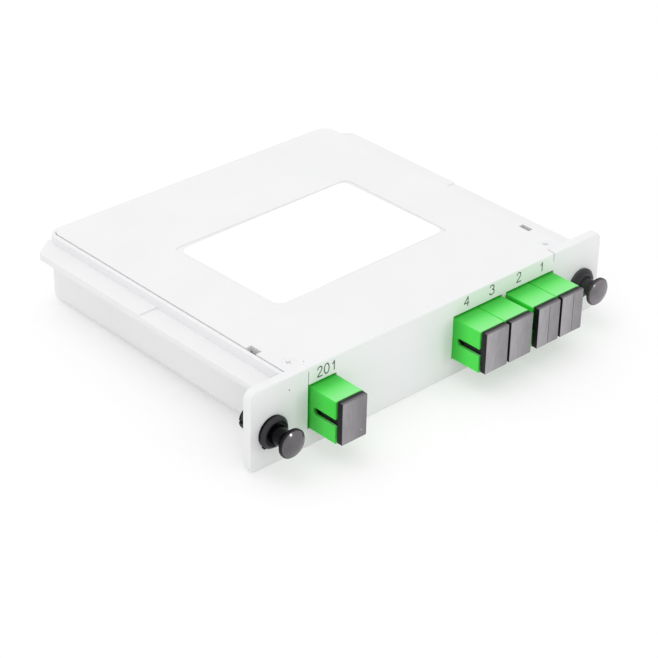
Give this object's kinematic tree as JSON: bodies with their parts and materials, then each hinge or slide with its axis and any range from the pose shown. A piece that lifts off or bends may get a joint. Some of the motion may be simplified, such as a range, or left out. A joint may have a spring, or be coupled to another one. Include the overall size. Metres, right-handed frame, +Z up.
{
  "type": "fibre splitter box",
  "caption": "Slim white plug-in fibre splitter box with a front panel, green capped adapters and black push-pull fasteners.",
  "frame": {"origin": "middle of the part's footprint, on the plane of the panel's lower edge", "axes": "+X along the front panel to its right end seen from the front, +Y from the panel to the rear of the box, +Z up"},
  "size_m": [0.13, 0.113, 0.024],
  "materials": {
    "white_plastic": "fine satin moulding",
    "label_paper": "smooth blank sticker",
    "screw_steel": "bright plated",
    "black_plastic": "glossy nylon",
    "green_plastic": "satin",
    "cap_plastic": "satin",
    "cream_plastic": "plain",
    "connector_plastic": "plain",
    "ceramic": "polished zirconia",
    "boot_rubber": "soft",
    "lead_jacket": "plain",
    "tube_metal": "plain"
  },
  "bodies": {
    "box": {"base_tray": "white_plastic", "top_cover": "white_plastic", "cover_label": "label_paper", "cover_screw_left": "screw_steel", "cover_screw_right": "screw_steel", "grommet_left": "black_plastic", "grommet_right": "black_plastic", "splitter_tube": "tube_metal", "splitter_plug_out": "boot_rubber", "splitter_plug_in": "boot_rubber", "adapter_in": "green_plastic", "holder_in": "cream_plastic", "sleeve_in": "ceramic", "connector_in": "connector_plastic", "ferrule_in": "ceramic", "boot_in": "boot_rubber", "lead_in": "lead_jacket", "adapter_out_4": "green_plastic", "holder_out_4": "cream_plastic", "sleeve_out_4": "ceramic", "connector_out_4": "connector_plastic", "ferrule_out_4": "ceramic", "boot_out_4": "boot_rubber", "lead_out_4": "lead_jacket", "adapter_out_3": "green_plastic", "holder_out_3": "cream_plastic", "sleeve_out_3": "ceramic", "connector_out_3": "connector_plastic", "ferrule_out_3": "ceramic", "boot_out_3": "boot_rubber", "lead_out_3": "lead_jacket", "adapter_out_2": "green_plastic", "holder_out_2": "cream_plastic", "sleeve_out_2": "ceramic", "connector_out_2": "connector_plastic", "ferrule_out_2": "ceramic", "boot_out_2": "boot_rubber", "lead_out_2": "lead_jacket", "adapter_out_1": "green_plastic", "holder_out_1": "cream_plastic", "sleeve_out_1": "ceramic", "connector_out_1": "connector_plastic", "ferrule_out_1": "ceramic", "boot_out_1": "boot_rubber", "lead_out_1": "lead_jacket"},
    "plunger_left_body": {"plunger_left": "black_plastic"},
    "plunger_right_body": {"plunger_right": "black_plastic"},
    "dust_cap_in_body": {"dust_cap_in": "cap_plastic"},
    "dust_cap_out_4_body": {"dust_cap_out_4": "cap_plastic"},
    "dust_cap_out_3_body": {"dust_cap_out_3": "cap_plastic"},
    "dust_cap_out_2_body": {"dust_cap_out_2": "cap_plastic"},
    "dust_cap_out_1_body": {"dust_cap_out_1": "cap_plastic"}
  },
  "joints": [
    {"name": "plunger_left_pull", "type": "slide", "parent": "box", "child": "plunger_left_body", "axis": [0, -1, 0], "range_m": [-0.001, 0.004]},
    {"name": "plunger_right_pull", "type": "slide", "parent": "box", "child": "plunger_right_body", "axis": [0, -1, 0], "range_m": [0, 0.005]},
    {"name": "dust_cap_in_pull", "type": "slide", "parent": "box", "child": "dust_cap_in_body", "axis": [0, -1, 0], "range_m": [0, 0.015]},
    {"name": "dust_cap_out_4_pull", "type": "slide", "parent": "box", "child": "dust_cap_out_4_body", "axis": [0, -1, 0], "range_m": [0, 0.015]},
    {"name": "dust_cap_out_3_pull", "type": "slide", "parent": "box", "child": "dust_cap_out_3_body", "axis": [0, -1, 0], "range_m": [0, 0.015]},
    {"name": "dust_cap_out_2_pull", "type": "slide", "parent": "box", "child": "dust_cap_out_2_body", "axis": [0, -1, 0], "range_m": [0, 0.015]},
    {"name": "dust_cap_out_1_pull", "type": "slide", "parent": "box", "child": "dust_cap_out_1_body", "axis": [0, -1, 0], "range_m": [0, 0.015]}
  ]
}
